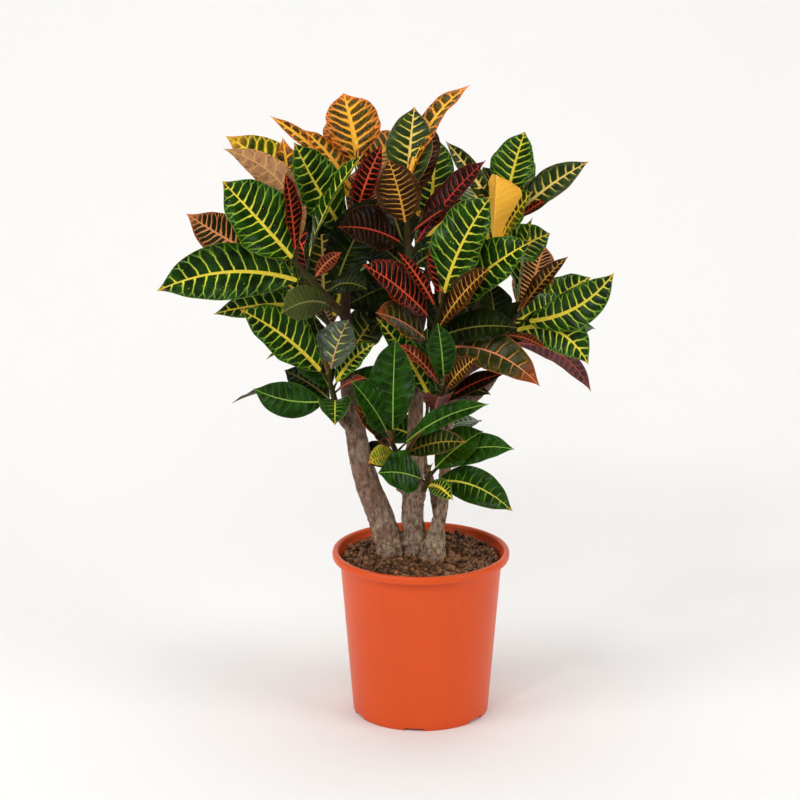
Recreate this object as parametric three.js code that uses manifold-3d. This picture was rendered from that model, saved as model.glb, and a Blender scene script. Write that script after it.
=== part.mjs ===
// A potted croton: a bushy woody houseplant with leathery variegated leaves, in a 21 cm nursery pot.
// Millimetres, +Z up. The origin is the middle of the pot's underside, on the floor; +X is to the right
// and +Y is away from the plant's best side.
import * as THREE from "three";
import { mergeVertices } from "three/addons/utils/BufferGeometryUtils.js";
import Module from "manifold-3d";

const wasm = await Module();
wasm.setup();

// ---------------------------------------------------------------- driving dimensions
const GAP = 0.4; // clearance between pieces that touch

// Nursery pot, injection moulded, 21 cm across the lip and 20 cm high.
const POT = {
  height: 200,
  lipRadius: 105,
  lipHeight: 10,
  neckRadius: 96, // outside, just under the lip
  footRadius: 80.5,
  mouthRadius: 98,
  wall: 2.6,
  footHeight: 3.5, // the floor's underside stands this high
  footWidth: 8.5,
  padRadius: 22, // flat boss in the middle of the underside
  floor: 3,
  round: 1.5, // rounding of the lip
  sides: 32,
};
const NOTCH = { count: 6, width: 23, height: 3.3, firstAngle: -95.7 };
const DRAIN = { count: 6, radius: 5, circle: 56, sides: 8 };

// Potting soil, filled to a little under the lip.
const SOIL = { surface: 190, crown: 3, unevenness: 1.2, ringRadii: [70, 36] };

// Leaf blade and its stalk.
const BLADE_THICKNESS = 0.9;
const STALK_THICKNESS = 2.6;
const STALK_WIDTH = 3;
const FOLD = 16; // degrees that each half of a blade rises from the midrib
const WAVE = 0.055; // height of the margin's waves, as a share of the blade's width
const WAVES_PER_BLADE = 2.6;
// How far along the leaf each section stands, and its half width as a share of the greatest.
const LEAF_SECTIONS = [
  [0, 0],
  [0.13, 0.09],
  [0.29, 0.66],
  [0.47, 0.97],
  [0.66, 0.96],
  [0.84, 0.64],
  [1, 0.05],
];
const SMALL_BLADE = 53; // a narrower blade has fewer sections
const SMALL_LEAF_SECTIONS = LEAF_SECTIONS.filter((_, i) => i !== 3);

// Woody stems and branches: each is a list of [x, y, z, radius] down its middle, root end first.
const LIMBS = {
  leftStem: [
    [-33, 2, 160, 17], [-37, 2, 205, 17], [-46, 1, 236, 15.5], [-60, -1, 272, 14.5], [-68, -2, 298, 14],
    [-75, -4, 335, 12.5], [-83, -5, 385, 10], [-89, -5, 440, 7.5], [-91, -5, 478, 6],
  ],
  centreStem: [
    [-4, 0, 160, 15], [-6, 0, 205, 14.5], [-10, 0, 238, 13], [-9, 0, 272, 12.5], [-7, 0, 330, 10],
    [-6, 2, 400, 8], [-10, 2, 470, 6.5], [-14, 2, 522, 5.5],
  ],
  rightStem: [
    [14, -12, 160, 15], [15, -12, 205, 14], [20, -9, 230, 8.5], [26, -6, 260, 6.5], [28, -2, 300, 7],
    [30, 2, 352, 7.5], [40, 6, 415, 6.5], [62, 20, 478, 5.5], [74, 27, 512, 5],
  ],
};
const STEM_SIDES = 8;
const BRANCH_SIDES = 6;
const TWIG_STUB = [[-16, -6, 268, 4], [-24, -10, 277, 3.4], [-29, -12, 279, 2.6]];

// Leafy shoots. "from" is where the branch that carries the shoot leaves its stem, base and top are the ends
// of the shoot's own green stem, and each leaf is a row:
// [height on the shoot's stem 0-1, tip x, tip y, tip z, blade width, roll about its length in degrees, arch,
// degrees of fold where the two halves stand up more than usual]
const SHOOTS = {
  upper_left: {
    limb: [[-91, -5, 470]], base: [-93, -6, 490], top: [-148, -14, 556], radius: 5,
    leaves: [
      [0.05, -243, 20, 482, 34, -55, 10],
      [0.12, -158, -118, 520, 40, 100, 10],
      [0.2, -44, 24, 622, 56, 50, 10],
      [0.35, -62, -66, 534, 38, 40, 10],
      [0.5, -303, -50, 528, 66, -70, 21],
      [0.6, -92, -40, 571, 17, 110, 4],
      [0.68, -273, 32, 600, 57, -64, -5],
      [0.76, -66, -30, 684, 44, 25, 10],
      [0.84, -227, -34, 653, 78, -66, 1],
      [0.9, -172, 4, 596, 20, 0, 3],
      [0.95, -227, -8, 685, 38, 105, 35],
      [0.97, -155, -40, 664, 26, -110, 4],
      [1, -160, 34, 690, 38, -8, 6],
    ],
  },
  top_back: {
    limb: [[-88, -3, 430], [-88, 20, 505]], base: [-82, 40, 560], top: [-72, 45, 652], radius: 4.5,
    leaves: [
      [0.1, -44, 150, 640, 48, 0, 12],
      [0.25, -45, 18, 684, 28, 100, 4],
      [0.05, -146, -4, 692, 60, -86, -3],
      [0.35, -229, 80, 682, 54, -64, 2],
      [0.5, -150, 150, 640, 52, -20, 12],
      [0.6, -137, 48, 696, 28, -40, 6],
      [0.75, -176, 60, 710, 18, -50, 4],
      [0.82, -18, 118, 674, 48, 20, 8],
      [0.9, -104, 104, 702, 50, -20, 6],
      [1, -91, 80, 733, 66, -10, 4],
    ],
  },
  top_centre: {
    limb: [[-14, 2, 515]], base: [-14, 2, 534], top: [-18, 5, 628], radius: 4.5,
    leaves: [
      [0.04, -60, 46, 564, 44, -50, 4],
      [0.06, 34, 34, 560, 42, 50, 4],
      [0.08, -48, 134, 606, 50, -10, 12],
      [0.15, 62, 100, 600, 46, 20, 10],
      [0.25, 73, -20, 674, 38, 50, 6],
      [0.35, -95, -64, 606, 54, -60, 8],
      [0.5, 46, -20, 628, 16, 40, 3],
      [0.55, -38, -16, 674, 52, -130, 3],
      [0.8, 12, 70, 698, 48, 10, 6],
      [0.9, -8, 38, 725, 54, 5, 5],
      [1, 56, 60, 746, 36, 5, 21],
    ],
  },
  centre: {
    limb: [[-6, 2, 398], [2, -14, 424]], base: [9, -28, 448], top: [22, -62, 514], radius: 4.5,
    leaves: [
      [0.05, 134, -110, 432, 46, 50, 22],
      [0.2, -52, -120, 521, 44, -60, 6],
      [0.3, 109, -90, 495, 40, 60, 8],
      [0.4, 76, -118, 572, 34, 80, 6],
      [0.6, -66, -110, 574, 48, -60, 6],
      [0.72, 125, -92, 597, 58, 62, 8],
      [0.85, -27, -80, 581, 16, -80, 3],
      [0.95, 79, -60, 642, 70, 50, 8],
      [1, 20, -30, 596, 30, 0, 3],
    ],
  },
  back_right: {
    limb: [[74, 27, 505]], base: [80, 31, 528], top: [96, 50, 598], radius: 4.5,
    leaves: [
      [0.1, 151, 50, 572, 52, 45, 4],
      [0.2, 60, 150, 606, 52, 0, 12],
      [0.3, 128, 14, 630, 64, 46, 4],
      [0.5, 130, 160, 640, 48, 0, 12],
      [0.6, 146, 30, 618, 14, 30, 3],
      [0.7, 194, 40, 660, 38, 55, 6],
      [0.8, 28, 60, 680, 24, -60, 5],
      [0.9, 72, 76, 646, 38, -15, 6],
      [0.3, 86, -8, 655, 44, -30, 4, 50],
      [1, 121, 72, 689, 54, 18, 3],
    ],
  },
  right: {
    limb: [[38, 5, 405], [58, -4, 424]], base: [78, -10, 440], top: [112, -15, 492], radius: 4.2,
    leaves: [
      [0.25, 200, 20, 388, 24, 110, 24],
      [0.3, 78, 4, 528, 44, 0, 3],
      [0.5, 193, -40, 438, 50, 58, 26],
      [0.5, 142, -60, 462, 14, 20, 5],
      [0.62, 184, 66, 476, 44, 30, 12],
      [0.85, 219, -60, 552, 46, 92, -17],
      [0.9, 169, -10, 559, 22, 40, 4],
      [1, 127, -14, 606, 52, 8, 3],
    ],
  },
  mid_right: {
    limb: [[-6, -2, 328], [4, -20, 350]], base: [12, -34, 368], top: [26, -72, 420], radius: 4,
    leaves: [
      [0.2, 22, -128, 424, 34, 0, 8],
      [0.3, -52, -40, 494, 30, -55, 6],
      [0.4, 95, -84, 440, 22, 60, 6],
      [0.55, 80, -62, 408, 18, 80, 12],
      [0.65, -12, -72, 477, 16, -80, 4],
      [0.75, 62, -104, 464, 26, 80, 4],
      [0.9, -26, -84, 474, 22, -45, 5],
      [1, 18, -84, 499, 32, -145, 3],
    ],
  },
  front_low: {
    limb: [[-10, -3, 270], [-16, -14, 288]], base: [-22, -24, 304], top: [-33, -60, 350], radius: 4,
    leaves: [
      [0.1, 2, -110, 380, 14, 30, 5],
      [0.3, -61, -108, 340, 28, -60, 8],
      [0.45, 51, -112, 366, 30, 70, 8],
      [0.6, -78, -62, 394, 32, -60, 5],
      [0.7, 76, -114, 412, 26, 60, 10],
      [0.8, -81, -84, 431, 42, -72, 5],
      [1, -30, -50, 473, 54, 0, 4],
    ],
  },
  right_low: {
    limb: [[-6, -6, 256], [0, -16, 268]], base: [3, -28, 282], top: [10, -68, 316], radius: 3.6,
    leaves: [
      [0.2, 36, -122, 300, 22, 50, 8],
      [0.4, 104, -120, 286, 42, 62, 16],
      [0.5, -50, -114, 330, 50, -68, 5],
      [0.75, 107, -80, 348, 36, 65, 16],
      [0.9, 71, -70, 367, 44, 58, 4],
    ],
  },
  left_low: {
    limb: [[-76, -5, 342], [-90, -18, 362]], base: [-98, -28, 380], top: [-107, -42, 424], radius: 4,
    leaves: [
      [0.1, -221, -10, 383, 30, 10, 18],
      [0.15, -160, 0, 420, 34, -50, 4],
      [0.2, -99, -105, 384, 38, 0, 14],
      [0.3, -194, -50, 412, 42, -72, -8],
      [0.42, -150, -6, 450, 42, -40, 8],
      [0.52, -64, -62, 428, 14, 30, 3],
      [0.62, -54, -36, 462, 30, 45, 6],
      [0.72, -126, 14, 480, 26, -10, 4],
      [0.85, -207, -62, 509, 58, -62, 8],
      [1, -84, -22, 487, 50, 20, 4],
    ],
  },
  back: {
    limb: [[-8, 2, 440], [0, 42, 470]], base: [6, 82, 496], top: [12, 112, 556], radius: 4.5,
    leaves: [
      [0.1, -60, 190, 470, 50, 0, 14],
      [0.2, 82, 200, 500, 52, 20, 14],
      [0.15, -60, 40, 452, 48, -50, 6],
      [0.2, 64, 60, 463, 52, 60, 6],
      [0.3, -92, 44, 484, 56, -60, 4],
      [0.55, 8, 228, 540, 56, 0, 14],
      [0.7, 78, 176, 590, 52, 20, 12],
      [0.85, -50, 200, 620, 52, -10, 10],
      [1, 20, 156, 664, 52, 0, 8],
    ],
  },
  back_left: {
    limb: [[-75, 2, 328], [-80, 36, 368]], base: [-86, 66, 400], top: [-118, 104, 466], radius: 4.5,
    leaves: [
      [0.1, -72, 196, 420, 46, 0, 14],
      [0.2, -186, 120, 400, 44, -20, 14],
      [0.4, -230, 140, 462, 52, -25, 14],
      [0.55, -146, 232, 460, 54, 0, 14],
      [0.7, -72, 180, 520, 48, 10, 10],
      [0.82, -232, 100, 540, 54, -35, 10],
      [0.92, -160, 186, 558, 52, -10, 8],
      [1, -120, 112, 588, 48, 0, 5],
    ],
  },
  back_right_low: {
    limb: [[31, 2, 356], [56, 30, 372]], base: [84, 58, 390], top: [124, 96, 444], radius: 4.2,
    leaves: [
      [0.3, 60, 184, 430, 46, 0, 12],
      [0.5, 124, 216, 420, 52, 10, 14],
      [0.65, 212, 150, 430, 48, 25, 14],
      [0.85, 204, 128, 500, 50, 30, 8],
      [1, 150, 170, 530, 50, 5, 6],
    ],
  },
  back_low: {
    limb: [[20, -6, 240], [14, 22, 270]], base: [4, 50, 300], top: [8, 84, 350], radius: 3.8,
    leaves: [
      [0.15, 74, 160, 310, 42, 10, 12],
      [0.3, -64, 70, 330, 46, -50, 6],
      [0.5, 70, 150, 366, 46, 25, 10],
      [0.65, -88, 136, 380, 46, -25, 10],
      [0.85, 12, 190, 392, 52, 0, 10],
      [1, 8, 122, 440, 44, 0, 5],
    ],
  },
};

// ---------------------------------------------------------------- shapes shared by the pieces
const UP = new THREE.Vector3(0, 0, 1);
const vec = ([x, y, z]) => new THREE.Vector3(x, y, z);
const radians = THREE.MathUtils.degToRad;

// A closed body through rings of equally many points. Each quad is split on one diagonal, or on the other
// from the column "mirrored" on, so that a thin blade's two faces are split alike.
function loft(rings, mirrored = Infinity) {
  const count = rings[0].length;
  const at = (ring, k) => ring * count + (k % count);
  const faces = [];
  for (let ring = 0; ring + 1 < rings.length; ring++) {
    for (let k = 0; k < count; k++) {
      const [a, b, c, d] = [at(ring, k), at(ring, k + 1), at(ring + 1, k + 1), at(ring + 1, k)];
      faces.push(...(k < mirrored ? [a, b, c, a, c, d] : [a, b, d, b, c, d]));
    }
  }
  const hub = 1; // the caps are fans round the second point, in the middle of a blade's upper face
  for (let k = 0; k < count - 2; k++) {
    faces.push(at(0, hub), at(0, hub + k + 2), at(0, hub + k + 1));
    const last = rings.length - 1;
    faces.push(at(last, hub), at(last, hub + k + 1), at(last, hub + k + 2));
  }
  const geometry = new THREE.BufferGeometry().setFromPoints(rings.flat());
  return geometry.setIndex(faces);
}

// Tapered round stem through [x, y, z, radius] points, widened by "extra".
function stem(points, sides, extra = 0) {
  const places = points.map(vec);
  const rings = [];
  let across = new THREE.Vector3(1, 0, 0);
  places.forEach((place, i) => {
    const before = places[Math.max(i - 1, 0)];
    const after = places[Math.min(i + 1, places.length - 1)];
    const along = after.clone().sub(before).normalize();
    across = across.clone().addScaledVector(along, -across.dot(along)).normalize();
    const other = along.clone().cross(across);
    const radius = points[i][3] + extra;
    const ring = [];
    for (let k = 0; k < sides; k++) {
      const angle = (2 * Math.PI * k) / sides;
      ring.push(
        place
          .clone()
          .addScaledVector(across, radius * Math.cos(angle))
          .addScaledVector(other, radius * Math.sin(angle)),
      );
    }
    rings.push(ring);
  });
  return loft(rings);
}

// One leaf: a stalk that opens into a pointed blade, arched along its length, folded a little at the
// midrib and waved at the margin. "root" is where it leaves the shoot.
function leaf(root, [, tipX, tipY, tipZ, width, roll, arch, fold = FOLD], number) {
  const chord = new THREE.Vector3(tipX, tipY, tipZ).sub(root);
  const outward = chord.clone().normalize();
  const arched = UP.clone().addScaledVector(outward, -UP.dot(outward)).normalize();
  const sections = width < SMALL_BLADE ? SMALL_LEAF_SECTIONS : LEAF_SECTIONS;
  const rings = sections.map(([share, halfWidth]) => {
    const middle = root
      .clone()
      .addScaledVector(chord, share)
      .addScaledVector(arched, 4 * arch * share * (1 - share));
    const along = chord.clone().addScaledVector(arched, 4 * arch * (1 - 2 * share)).normalize();
    const face = arched.clone().addScaledVector(along, -arched.dot(along)).normalize();
    face.applyAxisAngle(along, radians(roll));
    const aside = along.clone().cross(face);
    const isStalk = halfWidth < LEAF_SECTIONS[2][1] / 2 && share < 0.5;
    const half = isStalk ? STALK_WIDTH / 2 : (halfWidth * width) / 2;
    const thickness = isStalk ? STALK_THICKNESS : BLADE_THICKNESS;
    const upper = [-1, 0, 1].map((side) => {
      const wave = Math.sin(2 * Math.PI * WAVES_PER_BLADE * share + 2.1 * number + 1.3 * side);
      const lift = Math.tan(radians(fold)) * half + (isStalk ? 0 : WAVE * width * halfWidth * wave);
      return middle
        .clone()
        .addScaledVector(aside, side * half)
        .addScaledVector(face, side === 0 ? 0 : lift);
    });
    const under = upper.map((point) => point.clone().addScaledVector(face, -thickness)).reverse();
    return [...upper, ...under];
  });
  return loft(rings, 3);
}

function solid(geometry) {
  const bare = geometry.clone();
  bare.deleteAttribute("normal");
  bare.deleteAttribute("uv");
  const merged = mergeVertices(bare, 1e-3);
  const triVerts = new Uint32Array(merged.index.array);
  return new wasm.Manifold(new wasm.Mesh({ numProp: 3, vertProperties: merged.attributes.position.array, triVerts }));
}

function geometryOf(body) {
  const { vertProperties, triVerts } = body.getMesh();
  const geometry = new THREE.BufferGeometry();
  geometry.setAttribute("position", new THREE.BufferAttribute(vertProperties, 3));
  geometry.setIndex(new THREE.BufferAttribute(triVerts, 1));
  geometry.computeVertexNormals();
  return geometry;
}

// Copies of a geometry set round the Z axis and joined in one solid.
function around(geometry, count, firstAngle) {
  let joined;
  for (let i = 0; i < count; i++) {
    const copy = solid(geometry.clone().rotateZ(radians(firstAngle + (360 * i) / count)));
    joined = joined ? joined.add(copy) : copy;
  }
  return joined;
}

// A profile of [radius, z] points turned round the Z axis.
function turned(profile) {
  const points = profile.map(([radius, z]) => new THREE.Vector2(radius, z));
  return new THREE.LatheGeometry(points, POT.sides).rotateX(Math.PI / 2);
}

// ---------------------------------------------------------------- pot
const floorTop = POT.footHeight + POT.floor;
const lipBottom = POT.height - POT.lipHeight;
const neckInside = POT.neckRadius - POT.wall;
const footInside = POT.footRadius - POT.wall;

function potSolid() {
  const ringInside = POT.footRadius - POT.footWidth;
  const body = turned([
    [0, 0],
    [POT.padRadius, 0],
    [POT.padRadius + POT.round, POT.footHeight],
    [ringInside - POT.round, POT.footHeight],
    [ringInside, 0],
    [POT.footRadius, 0],
    [POT.neckRadius, lipBottom],
    [POT.lipRadius - POT.round, lipBottom],
    [POT.lipRadius, lipBottom + POT.round],
    [POT.lipRadius, POT.height - POT.round],
    [POT.lipRadius - POT.round, POT.height],
    [POT.mouthRadius + POT.round, POT.height],
    [POT.mouthRadius, POT.height - POT.round],
    [POT.mouthRadius, lipBottom + POT.round],
    [neckInside, lipBottom - POT.wall],
    [footInside, floorTop],
    [0, floorTop],
  ]);
  const notch = new THREE.BoxGeometry(2 * POT.footWidth + POT.wall, NOTCH.width, 2 * NOTCH.height);
  notch.translate(POT.footRadius, 0, 0);
  const drain = new THREE.CylinderGeometry(DRAIN.radius, DRAIN.radius, 4 * POT.floor, DRAIN.sides);
  drain.rotateX(Math.PI / 2).translate(DRAIN.circle, 0, floorTop);
  const halfStep = 180 / DRAIN.count;
  return solid(body)
    .subtract(around(notch, NOTCH.count, NOTCH.firstAngle))
    .subtract(around(drain, DRAIN.count, NOTCH.firstAngle + halfStep));
}

// ---------------------------------------------------------------- woody stems
function woodSolid() {
  const limbs = Object.values(LIMBS).map((points) => solid(stem(points, STEM_SIDES)));
  const branches = Object.values(SHOOTS).map((shoot) => solid(stem(branchPoints(shoot), BRANCH_SIDES)));
  const twig = solid(stem(TWIG_STUB, BRANCH_SIDES));
  return [...limbs, ...branches, twig].reduce((wood, piece) => wood.add(piece));
}

const FLARE = 1.5; // a branch is this much thicker than its shoot where it leaves the stem
const STRAIGHT_END = 8; // the last stretch of a branch, in line with its shoot

function branchPoints({ limb, base, top, radius }) {
  const along = vec(top).sub(vec(base)).normalize();
  const before = vec(base).addScaledVector(along, -STRAIGHT_END);
  return [
    ...limb.map((point) => [...point, radius + FLARE]),
    [...before.toArray(), radius + FLARE / 3],
    [...base, radius],
  ];
}

// ---------------------------------------------------------------- soil
// Waves of the soil's surface, in millimetres, at a place.
function soilRise(x, y) {
  const swell = SOIL.crown * (1 - Math.hypot(x, y) / POT.neckRadius);
  return swell + SOIL.unevenness * (Math.sin(0.11 * x + 0.6) * Math.cos(0.13 * y) + Math.sin(0.23 * (x + y)));
}

function soilSolid() {
  const slope = (neckInside - footInside) / (lipBottom - POT.wall - floorTop);
  const edgeHeight = lipBottom - 2 * POT.wall;
  const profile = [
    [0, floorTop + GAP],
    [footInside - GAP, floorTop + GAP],
    [footInside + slope * (edgeHeight - floorTop) - GAP, edgeHeight],
    ...SOIL.ringRadii.map((radius) => [radius, SOIL.surface]),
    [0, SOIL.surface],
  ];
  const geometry = turned(profile);
  const places = geometry.getAttribute("position");
  for (let i = 0; i < places.count; i++) {
    if (places.getZ(i) === SOIL.surface) {
      places.setZ(i, SOIL.surface + soilRise(places.getX(i), places.getY(i)));
    }
  }
  return Object.values(LIMBS).reduce(
    (soil, points) => soil.subtract(solid(stem(points, STEM_SIDES, GAP + 0.2))),
    solid(geometry),
  );
}

// ---------------------------------------------------------------- leafy shoots
const SHOOT_SIDES = 5;
const BUD_RADIUS = 1.6;
const ROOT_DEPTH = 0.35; // how far from a shoot's middle its leaves' stalks start, as a share of its radius

function shootSolid({ base, top, radius, leaves }) {
  const along = vec(top).sub(vec(base)).normalize();
  const start = vec(base).addScaledVector(along, GAP);
  const middle = start.clone().lerp(vec(top), 0.6);
  const tip = vec(top).addScaledVector(along, radius);
  const axis = stem(
    [
      [...start.toArray(), radius],
      [...middle.toArray(), 0.8 * radius],
      [...tip.toArray(), BUD_RADIUS],
    ],
    SHOOT_SIDES,
  );
  return leaves.reduce((shoot, row, number) => {
    const onAxis = start.clone().lerp(vec(top), row[0]);
    const outward = vec(row.slice(1, 4)).sub(onAxis);
    outward.addScaledVector(along, -outward.dot(along)).normalize();
    const root = onAxis.addScaledVector(outward, ROOT_DEPTH * radius);
    return shoot.add(solid(leaf(root, row, number)));
  }, solid(axis));
}

// ---------------------------------------------------------------- the plant
const plant = new THREE.Group();

function place(name, body, color, roughness) {
  const material = new THREE.MeshStandardMaterial({ color, roughness, metalness: 0 });
  const mesh = new THREE.Mesh(geometryOf(body), material);
  mesh.name = name;
  plant.add(mesh);
}

place("pot", potSolid(), 0xd4542a, 0.4);
place("soil", soilSolid(), 0x4b3823, 0.95);
place("wood", woodSolid(), 0x7a6150, 0.85);
for (const [name, shoot] of Object.entries(SHOOTS)) {
  place(`${name}_shoot`, shootSolid(shoot), 0x2f5a1e, 0.35);
}

export default plant;
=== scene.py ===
import math

import bmesh
import bpy
import numpy as np
from mathutils import Matrix, Vector, noise


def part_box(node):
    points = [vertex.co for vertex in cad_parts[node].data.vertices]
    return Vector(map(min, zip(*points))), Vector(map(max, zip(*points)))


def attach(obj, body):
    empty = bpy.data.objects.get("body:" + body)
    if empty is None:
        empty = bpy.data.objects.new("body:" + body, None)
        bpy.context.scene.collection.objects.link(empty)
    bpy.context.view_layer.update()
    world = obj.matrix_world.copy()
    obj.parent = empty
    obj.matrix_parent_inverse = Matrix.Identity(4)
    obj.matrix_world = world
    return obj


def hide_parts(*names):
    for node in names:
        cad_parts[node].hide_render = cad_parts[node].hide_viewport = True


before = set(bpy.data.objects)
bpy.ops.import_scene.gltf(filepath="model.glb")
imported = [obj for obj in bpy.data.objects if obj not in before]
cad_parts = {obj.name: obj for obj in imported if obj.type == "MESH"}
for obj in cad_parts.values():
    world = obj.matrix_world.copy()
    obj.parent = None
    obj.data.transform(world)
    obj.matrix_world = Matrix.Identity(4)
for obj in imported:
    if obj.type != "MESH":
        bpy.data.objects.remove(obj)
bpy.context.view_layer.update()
MM = 0.001

# ---------------------------------------------------------------- studio
# A seamless floor and backdrop of matt white paper, four large soft lights, and a small key light that draws
# crisp highlights. The camera looks down a little, from about 3.9 m away, through a long lens.
CAMERA_PLACE = (-0.0248, -3.662, 1.447)
CAMERA_DOWN = 16.19  # degrees below level
CAMERA_LENS = 146.6
SWEEP_FRONT, SWEEP_WALL, SWEEP_RADIUS, SWEEP_HEIGHT, SWEEP_WIDTH = -3.2, 1.5, 0.9, 3.4, 9.0


def colour(hex_code):
    """An sRGB hex colour, such as "c05028", as linear RGBA."""
    shares = [int(hex_code[i:i + 2], 16) / 255 for i in (0, 2, 4)]
    return [c / 12.92 if c <= 0.04045 else ((c + 0.055) / 1.055) ** 2.4 for c in shares] + [1.0]


def add(material, kind, links=(), **settings):
    """Adds a node to a material: links gives each socket a value or another node's output."""
    node = material.node_tree.nodes.new(kind)
    for name, value in settings.items():
        setattr(node, name, value)
    for socket, value in dict(links).items():
        if isinstance(value, bpy.types.NodeSocket):
            material.node_tree.links.new(value, node.inputs[socket])
        else:
            node.inputs[socket].default_value = value
    return node


def blank_material(name):
    material = bpy.data.materials.new(name)
    material.use_nodes = True
    material.node_tree.nodes.clear()
    return material


def finish_material(material, shader, height=None, depth=0.0):
    """Joins the shader to the output, with a bump of the given depth in metres."""
    if height is not None:
        bump = add(material, "ShaderNodeBump", {"Height": height, "Distance": depth})
        material.node_tree.links.new(bump.outputs[0], shader.inputs["Normal"])
    add(material, "ShaderNodeOutputMaterial", {"Surface": shader.outputs[0]})
    return material


def those(kind, geometry):
    """The vertices, edges or faces among what an operator gives back."""
    return [item for item in geometry if isinstance(item, kind)]


def piece_from(bm, name, *materials):
    """A finished object at the origin from a bmesh, smooth shaded."""
    mesh = bpy.data.meshes.new(name)
    for face in bm.faces:
        face.smooth = True
    bm.to_mesh(mesh)
    bm.free()
    for material in materials:
        mesh.materials.append(material)
    made = bpy.data.objects.new(name, mesh)
    bpy.context.scene.collection.objects.link(made)
    return made


camera = bpy.data.objects.new("camera", bpy.data.cameras.new("camera"))
camera.location = CAMERA_PLACE
camera.rotation_euler = (math.radians(90 - CAMERA_DOWN), 0, 0)
camera.data.lens = CAMERA_LENS
camera.data.clip_end = 30
bpy.context.scene.collection.objects.link(camera)
bpy.context.scene.camera = camera
bpy.context.scene.view_settings.view_transform = "Standard"

sweep = bmesh.new()
start = sweep.verts.new((-SWEEP_WIDTH / 2, SWEEP_FRONT, 0))
bend = [
    (SWEEP_WALL - SWEEP_RADIUS * (1 - math.sin(a)), SWEEP_RADIUS * (1 - math.cos(a)))
    for a in np.linspace(0, math.pi / 2, 17)
]
outline = [start] + [sweep.verts.new((-SWEEP_WIDTH / 2, y, z)) for y, z in bend]
outline.append(sweep.verts.new((-SWEEP_WIDTH / 2, SWEEP_WALL, SWEEP_HEIGHT)))
edges = [sweep.edges.new(pair) for pair in zip(outline, outline[1:])]
moved = bmesh.ops.extrude_edge_only(sweep, edges=edges)["geom"]
bmesh.ops.translate(sweep, verts=those(bmesh.types.BMVert, moved), vec=(SWEEP_WIDTH, 0, 0))
bmesh.ops.recalc_face_normals(sweep, faces=sweep.faces)

paper = blank_material("matt white paper backdrop")
matt = add(paper, "ShaderNodeBsdfPrincipled", {"Base Color": colour("edecea"), "Roughness": 0.9})
finish_material(paper, matt)
backdrop = piece_from(sweep, "backdrop", paper)

SOFTBOXES = [
    # place, size, watts
    ((-2.6, -1.7, 1.9), 1.8, 52),
    ((2.7, -1.6, 1.7), 1.8, 44),
    ((0.0, -3.4, 3.0), 2.0, 28),
    ((-1.1, -2.4, 2.9), 0.35, 17),
    ((0.0, 0.3, 3.3), 2.4, 44),
]
for number, (place, size, watts) in enumerate(SOFTBOXES):
    light = bpy.data.lights.new(f"softbox_{number}", "AREA")
    light.size = size
    light.energy = watts
    lamp = bpy.data.objects.new(light.name, light)
    lamp.location = place
    lamp.rotation_euler = (Vector((0, 0, 0.35)) - Vector(place)).to_track_quat("-Z", "Y").to_euler()
    bpy.context.scene.collection.objects.link(lamp)

# Beyond the backdrop the studio is as pale as the paper, but gives only a little light.
world = bpy.data.worlds.new("studio")
world.use_nodes = True
room = world.node_tree.nodes["Background"]
room.inputs["Color"].default_value = colour("fdfcfb")
seen = add(world, "ShaderNodeLightPath").outputs["Is Camera Ray"]
strength = add(world, "ShaderNodeMapRange", {"Value": seen, 3: 0.12, 4: 0.93}).outputs[0]
world.node_tree.links.new(strength, room.inputs["Strength"])
bpy.context.scene.world = world

# ---------------------------------------------------------------- pot
# A nursery pot of polypropylene, injection moulded in one piece: a tapered wall under a thick rounded lip,
# a raised floor with drain holes, and a foot ring with notches that let the water out.
POT_PROFILE = [  # radius and height in millimetres, outside first, from the middle of the underside
    (0, 0), (22, 0), (23.5, 3.5), (70.5, 3.5), (71.6, 0.4), (72.4, 0), (79.6, 0), (80.3, 0.6), (81, 6),
    (95.2, 180), (95.9, 188.4), (96.6, 189.7), (102.6, 190), (104.2, 190.7), (104.9, 192.2), (104.95, 196.8),
    (104.2, 198.9), (102.4, 199.9), (99.9, 199.7), (98.5, 198.7), (97.9, 196.6), (97.6, 192.2), (96, 189.6),
    (94.5, 186.5), (93.9, 181), (78.6, 8), (77, 6.6), (0, 6.5),
]
POT_STEPS = 144
NOTCHES, NOTCH_WIDTH, NOTCH_HEIGHT, NOTCH_FIRST = 6, 23, 3.3, -95.7
NOTCH_CIRCLE, NOTCH_DEEP = 80.5, 20
DRAIN_RADIUS, DRAIN_CIRCLE, DRAIN_LENGTH, FLOOR_TOP = 5, 56, 12, 6.5

pot_mesh = bmesh.new()
profile = [pot_mesh.verts.new((radius * MM, 0, z * MM)) for radius, z in POT_PROFILE]
for pair in zip(profile, profile[1:]):
    pot_mesh.edges.new(pair)
bmesh.ops.spin(
    pot_mesh, geom=pot_mesh.verts[:] + pot_mesh.edges[:], cent=(0, 0, 0), axis=(0, 0, 1),
    angle=2 * math.pi, steps=POT_STEPS, use_merge=True,
)
bmesh.ops.remove_doubles(pot_mesh, verts=pot_mesh.verts, dist=0.01 * MM)
bmesh.ops.recalc_face_normals(pot_mesh, faces=pot_mesh.faces)
pot = piece_from(pot_mesh, "nursery_pot")

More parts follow.
